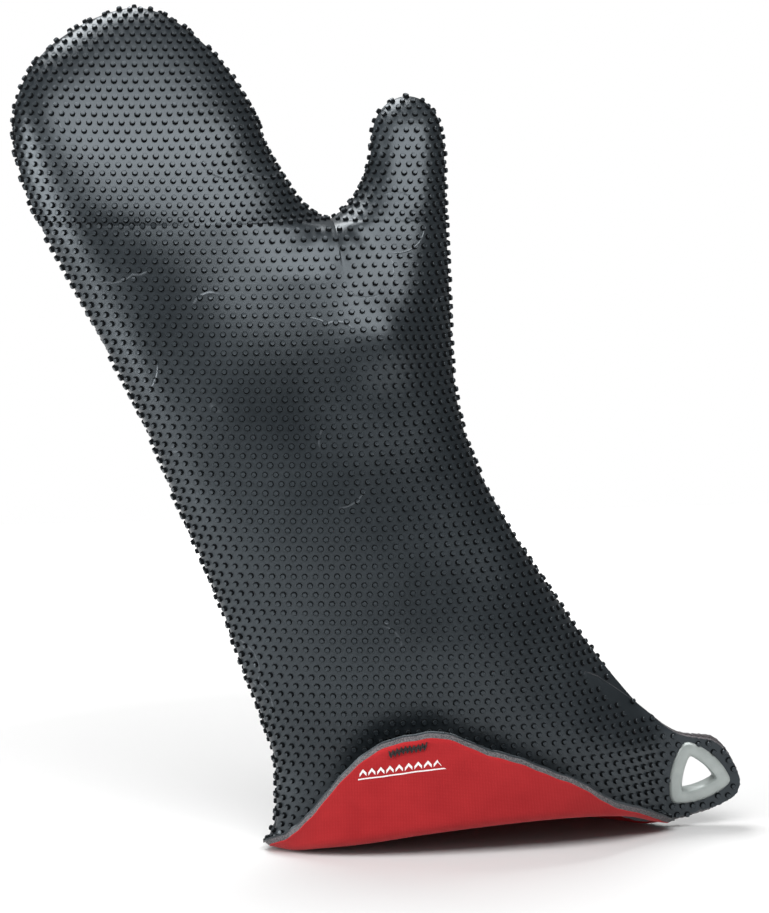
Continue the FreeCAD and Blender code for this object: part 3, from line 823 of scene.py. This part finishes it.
def make_panels(sheets, materials):
    """Rubber, foam and lining of both panels. The thumb is one piece with the body."""
    for name in ("front", "back"):
        for layer, (near, far) in LAYERS:
            for part, members in (("body", ("body", "thumb")), ("fingers", ("fingers",))):
                outer, inner, quads, start = [], [], [], 0
                for member in members:
                    sheet = sheets[name, member]
                    rows, columns = sheet.points.shape[:2]
                    outer.append(layer_points(sheet, near))
                    inner.append(layer_points(sheet, far))
                    quads.append(grid_faces(rows, columns, start, name == "back"))
                    start += rows * columns
                points, faces = shell(np.vstack(outer), np.vstack(inner), np.vstack(quads))
                piece = add_mesh("%s_%s_%s" % (part, name, layer), points, faces, materials[layer])
                if part == "body":
                    bend_thumb(piece)
                    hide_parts("hand_%s_%s" % (name, layer), "thumb_%s_%s" % (name, layer))
                else:
                    bend_fingers(piece)
                    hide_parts("fingers_%s_%s" % (name, layer))


def make_seam_threads(sheets, materials):
    """Thread in the seam between the panels, a little below the rubber's face."""
    inset, radius, short = 1.5, 0.35, 1.6
    lines = {}
    for part in ("body", "fingers", "thumb"):
        sheet = sheets["back", part]
        for edge, column in (("left", 0), ("right", -1)):
            line = sheet.points[:, column] - sheet.normals[:, column] * inset
            top = FINGER_TOP if part == "fingers" else THUMB_TOP
            lines[part, edge] = line[line[:, 2] < top - short]
    body_line = [lines["body", "left"], np.vstack([lines["body", "right"], lines["thumb", "right"][1:],
                                                   lines["thumb", "left"][::-1]])]
    finger_line = [np.vstack([lines["fingers", "left"], lines["fingers", "right"][::-1]])]
    for name, group in (("body", body_line), ("fingers", finger_line)):
        points, faces, start = [], [], 0
        for line in group:
            more, more_faces = tube(line, radius)
            points.append(more)
            faces += [[v + start for v in face] for face in more_faces]
            start += len(more)
        piece = add_mesh("seam_thread_%s" % name, np.vstack(points), faces, materials["thread"])
        if name == "body":
            bend_thumb(piece)
            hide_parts("hand_seam_thread", "thumb_seam_thread")
        else:
            bend_fingers(piece)
            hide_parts("fingers_seam_thread")


# ---------------------------------------------------------------- small pieces

MM_PER_SHARE = 292.0                   # length of the lip from seam to seam

# The bar tack: its middle along the lip, its distance below the cut edge, and its stitches.
TACK_SHARE, TACK_DOWN = 0.372, 6.2
TACK_LONG, TACK_WIDE, TACK_TURNS = 17.0, 4.0, 9
TACK_THREAD, TACK_STRAIGHT = 0.34, 0.25

# The printed band: its middle along the lip, the height it stands at and how that rises.
PRINT_SHARE, PRINT_HIGH, PRINT_SLOPE = 0.374, 46.5, 0.135
PRINT_THICK = 0.09
CHEVRONS, CHEVRON_PITCH, CHEVRON_HALF = 11, 4.3, 1.7
CHEVRON_OUTLINE = [(-1, -0.2), (0, 2.1), (1, -0.2), (1, 1.5), (0, 3.8), (-1, 1.5)]
DASHES, DASH_LONG, DASH_TOP, DASH_FOOT = 16, 3.0, -1.2, -1.9


def on_lining(share, down, lift):
    """Point on the red face of the lip, a distance below the cut edge and a lift off the cloth."""
    lip = cubic(FOLD_LIP, share)
    stage = 3.0 - np.asarray(down, float) / lip
    return fold_at(share, stage, LAMINATE + lift)


def make_bar_tack(materials):
    """Zigzag stitches over a few straight ones."""
    steps = np.arange(2 * TACK_TURNS + 1)
    share = TACK_SHARE + (steps / (2 * TACK_TURNS) - 0.5) * TACK_LONG / MM_PER_SHARE
    down = TACK_DOWN + np.where(steps % 2, 0.5, -0.5) * TACK_WIDE
    fine = np.linspace(0, len(steps) - 1, 12 * TACK_TURNS + 1)
    lift = 0.35 + 0.12 * np.abs(np.sin(fine * math.pi / 2))
    path = on_lining(np.interp(fine, steps, share), np.interp(fine, steps, down), lift)
    points, faces = tube(path, TACK_THREAD)
    straight = np.linspace(-0.5, 0.5, 12) * TACK_LONG / MM_PER_SHARE + TACK_SHARE
    for low in (-0.5, 0.5):
        line = on_lining(straight, np.full(len(straight), TACK_DOWN + low), 0.1)
        more, more_faces = tube(line, TACK_STRAIGHT)
        faces += [[v + len(points) for v in face] for face in more_faces]
        points = np.vstack([points, more])
    piece = add_mesh("bar_tack_stitches", points, faces, materials["tack"])
    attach(piece, "hand")
    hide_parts("bar_tack")


def make_print(materials):
    """Plain printed band of chevrons on the lining, with a thin line under it."""
    shapes = []
    for k in range(CHEVRONS):
        x = (k - (CHEVRONS - 1) / 2) * CHEVRON_PITCH
        shapes.append([(x + side * CHEVRON_HALF, up) for side, up in CHEVRON_OUTLINE])
    for k in range(DASHES):
        low, high = (k - DASHES / 2) * DASH_LONG, (k + 1 - DASHES / 2) * DASH_LONG
        shapes.append([(low, DASH_FOOT), (high, DASH_FOOT), (high, DASH_TOP), (low, DASH_TOP)])
    points, faces = [], []
    for shape in shapes:
        start = len(points)
        count = len(shape)
        for lift in (PRINT_THICK, 0.0):
            for x, up in shape:
                share = PRINT_SHARE + x / MM_PER_SHARE
                edge = fold_at(share, 3.0, LAMINATE)[2]
                down = edge - (PRINT_HIGH + PRINT_SLOPE * x + up)
                points.append(on_lining(share, down, lift))
        faces.append([start + k for k in range(count)])
        faces.append([start + count + k for k in reversed(range(count))])
        for k in range(count):
            after = (k + 1) % count
            faces.append([start + after, start + k, start + count + k, start + count + after])
    piece = add_mesh("printed_band", np.array(points), faces, materials["ink"])
    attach(piece, "hand")


def ring_solid(profile):
    """Closed ring round the tab's centre, whose section is a list of (triangle's inner radius, y)."""
    sides = 120
    angle = 2 * math.pi * np.arange(sides) / sides
    rows = []
    for inner, y in profile:
        radius = triangle_radius(angle, inner)
        rows.append(np.stack([TAB_CENTRE[0] + radius * np.cos(angle), np.full(sides, y),
                              TAB_CENTRE[1] + radius * np.sin(angle)], -1))
    quads = ring_quads(len(rows) + 1, sides, False) % (len(rows) * sides)
    return np.vstack(rows), quads.tolist()


def make_grommet(materials):
    """Front flange with its tube, and the back washer."""
    face, flange = TAB_FACE, 1.7
    front = [(6.5, face + 1.3), (6.5, -face - 0.2), (7.1, -face - 1.35), (7.9, -face - flange),
             (8.5, -face - flange - 0.05), (11.7, -face - flange + 0.05), (12.5, -face - 1.35),
             (13.1, -face - 0.75), (FLANGE_RADIUS, -face - 0.1), (13.0, -face + 0.1), (8.1, -face + 0.1),
             (8.1, face + 1.3)]
    back = [(8.15, face - 0.1), (12.6, face - 0.1), (12.7, face + 0.3), (12.5, face + 0.9),
            (11.9, face + 1.4), (11.3, face + 1.6), (8.6, face + 1.6), (8.15, face + 1.4)]
    for name, profile in (("grommet_front", front), ("grommet_back", back)):
        points, faces = ring_solid(profile)
        piece = add_mesh(name + "_ring", points, faces, materials["plastic"], 35.0)
        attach(piece, "hand")
        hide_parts(name)


# ---------------------------------------------------------------- materials

def new_look(name):
    """Material with its node tree, its shader and its object coordinates."""
    material = bpy.data.materials.new(name)
    material.use_nodes = True
    tree = material.node_tree
    place = tree.nodes.new("ShaderNodeTexCoord").outputs["Object"]
    return material, tree, tree.nodes["Principled BSDF"], place


def settings(node, values):
    """Set a node's inputs by name."""
    for socket, value in values.items():
        node.inputs[socket].default_value = value


def noise(tree, place, scale, detail=3.0, rough=0.5):
    node = tree.nodes.new("ShaderNodeTexNoise")
    settings(node, {"Scale": scale, "Detail": detail, "Roughness": rough})
    tree.links.new(place, node.inputs["Vector"])
    return node.outputs["Fac"]


def ramp(tree, value, low, high, dark, light):
    """Colour that goes from dark at low to light at high."""
    node = tree.nodes.new("ShaderNodeValToRGB")
    for element, position, colour in zip(node.color_ramp.elements, (low, high), (dark, light)):
        element.position = position
        element.color = (*colour, 1)
    tree.links.new(value, node.inputs["Fac"])
    return node.outputs["Color"]


def spread(tree, value, low, high, to_low, to_high):
    """Number that goes from to_low at low to to_high at high."""
    node = tree.nodes.new("ShaderNodeMapRange")
    settings(node, {"From Min": low, "From Max": high, "To Min": to_low, "To Max": to_high})
    tree.links.new(value, node.inputs["Value"])
    return node.outputs["Result"]


def maths(tree, kind, *values):
    """Sum of numbers and outputs by one maths node."""
    node = tree.nodes.new("ShaderNodeMath")
    node.operation = kind
    for socket, value in zip(node.inputs, values):
        if isinstance(value, (int, float)):
            socket.default_value = value
        else:
            tree.links.new(value, socket)
    return node.outputs["Value"]


def bump(tree, height, strength, distance):
    node = tree.nodes.new("ShaderNodeBump")
    settings(node, {"Strength": strength, "Distance": distance})
    tree.links.new(height, node.inputs["Height"])
    return node.outputs["Normal"]


def rubber_material():
    """Moulded black rubber: satin, with faint flow marks from the mould. The marks have a little relief and
    less roughness, and a lighter colour along them that is a painted highlight.
    """
    material, tree, shader, place = new_look("rubber")
    cloud = noise(tree, place, 22.0, 4.0)
    grain = noise(tree, place, 900.0, 2.0)
    cell = tree.nodes.new("ShaderNodeTexVoronoi")
    cell.inputs["Scale"].default_value = 26.0
    tree.links.new(place, cell.inputs["Vector"])
    band = maths(tree, "ABSOLUTE", maths(tree, "SUBTRACT", cell.outputs["Distance"], 0.42))
    line = spread(tree, band, 0.0, 0.012, 1.0, 0.0)
    where = spread(tree, noise(tree, place, 30.0, 1.0), 0.57, 0.62, 0.0, 1.0)
    # Mask of the flow marks: it sets their real relief and gloss, and where the painted highlight goes.
    flow_mark_and_highlight = maths(tree, "MULTIPLY", line, where)
    mix = tree.nodes.new("ShaderNodeMix")
    mix.data_type = "RGBA"
    tree.links.new(maths(tree, "MULTIPLY", flow_mark_and_highlight, 0.7), mix.inputs["Factor"])
    base = ramp(tree, cloud, 0.3, 0.7, (0.007, 0.0095, 0.0115), (0.014, 0.018, 0.021))
    tree.links.new(base, mix.inputs["A"])
    # Painted highlight: light grey mixed into the rubber along the flow marks.
    mix.inputs["B"].default_value = (0.09, 0.10, 0.11, 1)
    tree.links.new(mix.outputs["Result"], shader.inputs["Base Color"])
    rough = maths(tree, "SUBTRACT", spread(tree, cloud, 0.3, 0.7, 0.30, 0.40),
                  maths(tree, "MULTIPLY", flow_mark_and_highlight, 0.12))
    tree.links.new(rough, shader.inputs["Roughness"])
    height = maths(tree, "ADD", maths(tree, "MULTIPLY", grain, 0.25), flow_mark_and_highlight)
    tree.links.new(bump(tree, height, 0.5, 0.0002), shader.inputs["Normal"])
    shader.inputs["Specular IOR Level"].default_value = 0.6
    shader.inputs["Specular Tint"].default_value = (0.84, 0.93, 1.0, 1)
    return material


def grainy_material(name, grain, tones, rough, relief=None):
    """Matt material with one fine grain in its colour and, where it has relief, in its surface."""
    material, tree, shader, place = new_look(name)
    spots = noise(tree, place, *grain)
    tree.links.new(ramp(tree, spots, *tones), shader.inputs["Base Color"])
    shader.inputs["Roughness"].default_value = rough
    if relief:
        tree.links.new(bump(tree, spots, *relief), shader.inputs["Normal"])
    return material


def painted_shade_material():
    """The nubs' walls and flared feet: matt, in painted shade, a darker copy of the rubber for the shadow
    under and round each nub.
    """
    # Painted shade: near black, far darker than the rubber's own colour, and with little specular.
    tones = (0.3, 0.7, (0.003, 0.0035, 0.004), (0.006, 0.007, 0.008))
    material = grainy_material("nub_walls_painted_shade", (1200.0, 2.0), tones, 0.85)
    material.node_tree.nodes["Principled BSDF"].inputs["Specular IOR Level"].default_value = 0.06
    return material


def foam_material():
    """Dark grey foam as it shows where the laminate is cut."""
    tones = (0.35, 0.68, (0.035, 0.033, 0.036), (0.17, 0.16, 0.168))
    return grainy_material("foam", (1500.0, 3.0, 0.7), tones, 0.95, (0.9, 0.0005))


def ink_material():
    """White print, worn a little thin by the cloth under it."""
    tones = (0.3, 0.6, (0.72, 0.66, 0.66), (0.86, 0.84, 0.84))
    return grainy_material("ink", (1400.0,), tones, 0.6, (0.3, 0.0001))


def lining_material():
    """Red knit with a short nap."""
    material, tree, shader, place = new_look("lining")
    mapping = tree.nodes.new("ShaderNodeMapping")
    mapping.inputs["Rotation"].default_value = (0.0, 0.0, 0.1)
    tree.links.new(place, mapping.inputs["Vector"])
    waves = []
    for direction in ("X", "Z"):
        wave = tree.nodes.new("ShaderNodeTexWave")
        wave.bands_direction = direction
        settings(wave, {"Scale": 420.0, "Distortion": 1.2, "Detail": 1.0})
        tree.links.new(mapping.outputs["Vector"], wave.inputs["Vector"])
        waves.append(wave.outputs["Fac"])
    knit = maths(tree, "MULTIPLY", waves[0], waves[1])
    cloud = noise(tree, place, 60.0, 4.0)
    fuzz = noise(tree, place, 2600.0, 2.0)
    shade = maths(tree, "ADD", maths(tree, "MULTIPLY", cloud, 0.6), maths(tree, "MULTIPLY", knit, 0.4))
    tree.links.new(ramp(tree, shade, 0.2, 0.75, (0.305, 0.011, 0.014), (0.43, 0.021, 0.024)),
                   shader.inputs["Base Color"])
    shader.inputs["Roughness"].default_value = 0.85
    shader.inputs["Sheen Weight"].default_value = 0.08
    shader.inputs["Sheen Roughness"].default_value = 0.5
    shader.inputs["Specular IOR Level"].default_value = 0.15
    height = maths(tree, "ADD", knit, maths(tree, "MULTIPLY", fuzz, 0.5))
    tree.links.new(bump(tree, height, 0.35, 0.0002), shader.inputs["Normal"])
    return material


def thread_material(name, colour):
    """Twisted thread."""
    material, tree, shader, place = new_look(name)
    wave = tree.nodes.new("ShaderNodeTexWave")
    wave.bands_direction = "DIAGONAL"
    wave.inputs["Scale"].default_value = 900.0
    tree.links.new(place, wave.inputs["Vector"])
    twist = wave.outputs["Fac"]
    tree.links.new(ramp(tree, twist, 0.2, 0.8, tuple(0.6 * c for c in colour), colour),
                   shader.inputs["Base Color"])
    shader.inputs["Roughness"].default_value = 0.5
    tree.links.new(bump(tree, twist, 0.6, 0.0001), shader.inputs["Normal"])
    return material


def plastic_material():
    """Satin silver-grey moulded plastic."""
    material, tree, shader, place = new_look("grommet_plastic")
    cloud = noise(tree, place, 180.0, 4.0)
    tree.links.new(ramp(tree, cloud, 0.3, 0.7, (0.29, 0.32, 0.31), (0.34, 0.37, 0.36)),
                   shader.inputs["Base Color"])
    tree.links.new(spread(tree, cloud, 0.3, 0.7, 0.28, 0.38), shader.inputs["Roughness"])
    grain = noise(tree, place, 1800.0, 2.0)
    tree.links.new(bump(tree, grain, 0.15, 0.0001), shader.inputs["Normal"])
    shader.inputs["Metallic"].default_value = 0.25
    return material


def floor_material():
    """White floor that glows more with distance, so that it runs into the background."""
    material, tree, shader, place = new_look("floor")
    away = tree.nodes.new("ShaderNodeVectorMath")
    away.operation = "LENGTH"
    tree.links.new(place, away.inputs[0])
    glow = spread(tree, away.outputs["Value"], 0.3, 0.85, 0.0, 0.6)
    tree.links.new(glow, shader.inputs["Emission Strength"])
    shader.inputs["Emission Color"].default_value = (1.0, 1.0, 1.0, 1)
    shader.inputs["Base Color"].default_value = (0.60, 0.60, 0.60, 1)
    shader.inputs["Roughness"].default_value = 0.9
    shader.inputs["Specular IOR Level"].default_value = 0.1
    return material


# ---------------------------------------------------------------- studio

def make_camera():
    azimuth, elevation, distance = math.radians(-9.0), math.radians(9.0), 1.6
    back = Vector((math.sin(azimuth) * math.cos(elevation), -math.cos(azimuth) * math.cos(elevation),
                   math.sin(elevation)))
    target = Vector(frame_point(-2.0, 0.0, 193.0))
    camera = bpy.data.objects.new("camera", bpy.data.cameras.new("camera"))
    camera.data.lens = 128.75
    camera.data.sensor_width = 36.0
    camera.location = target + back * distance
    camera.rotation_mode = "QUATERNION"
    camera.rotation_quaternion = (-back).to_track_quat("-Z", "Y")
    bpy.context.scene.collection.objects.link(camera)
    bpy.context.scene.camera = camera


def add_light(name, location, size, power):
    """Rectangular light that points at the middle of the mitt."""
    target = (0.0, 0.0, 0.2)
    light = bpy.data.lights.new(name, "AREA")
    light.shape = "RECTANGLE"
    light.size, light.size_y = size
    light.energy = power
    holder = bpy.data.objects.new(name, light)
    holder.location = location
    holder.rotation_mode = "QUATERNION"
    holder.rotation_quaternion = (Vector(target) - Vector(location)).to_track_quat("-Z", "Y")
    bpy.context.scene.collection.objects.link(holder)


def make_studio():
    """White floor and background, and three soft lights. The world is brighter to the camera."""
    floor = bpy.data.meshes.new("floor")
    side, rear, low = 1.5, 0.9, -0.0003
    floor.from_pydata([(-side, -side, low), (side, -side, low), (side, rear, low), (-side, rear, low)],
                      [], [(0, 1, 2, 3)])
    floor.materials.append(floor_material())
    ground = bpy.data.objects.new("floor", floor)
    bpy.context.scene.collection.objects.link(ground)
    world = bpy.data.worlds.new("studio")
    world.use_nodes = True
    tree = world.node_tree
    background = tree.nodes["Background"]
    background.inputs["Color"].default_value = (1.0, 1.0, 1.0, 1)
    seen = tree.nodes.new("ShaderNodeLightPath").outputs["Is Camera Ray"]
    tree.links.new(spread(tree, seen, 0.0, 1.0, 0.17, 1.0), background.inputs["Strength"])
    bpy.context.scene.world = world
    add_light("front", (0.1, -1.25, 1.75), (2.8, 1.0), 57.0)
    add_light("rear", (-0.35, 0.75, 1.8), (1.2, 0.9), 36.0)
    add_light("left", (-1.9, -0.6, 0.6), (0.9, 1.2), 36.0)
    bpy.context.scene.view_settings.view_transform = "Standard"


def main():
    materials = {
        "rubber": rubber_material(),
        "shade": painted_shade_material(),
        "foam": foam_material(),
        "lining": lining_material(),
        "thread": thread_material("seam_thread", (0.03, 0.03, 0.03)),
        "tack": thread_material("tack_thread", (0.012, 0.012, 0.013)),
        "plastic": plastic_material(),
        "ink": ink_material(),
    }
    make_camera()
    make_studio()
    sheets = build_sheets()
    make_panels(sheets, materials)
    make_tab(materials)
    make_nubs(sheets, materials)
    make_seam_threads(sheets, materials)
    make_bar_tack(materials)
    make_print(materials)
    make_grommet(materials)


main()
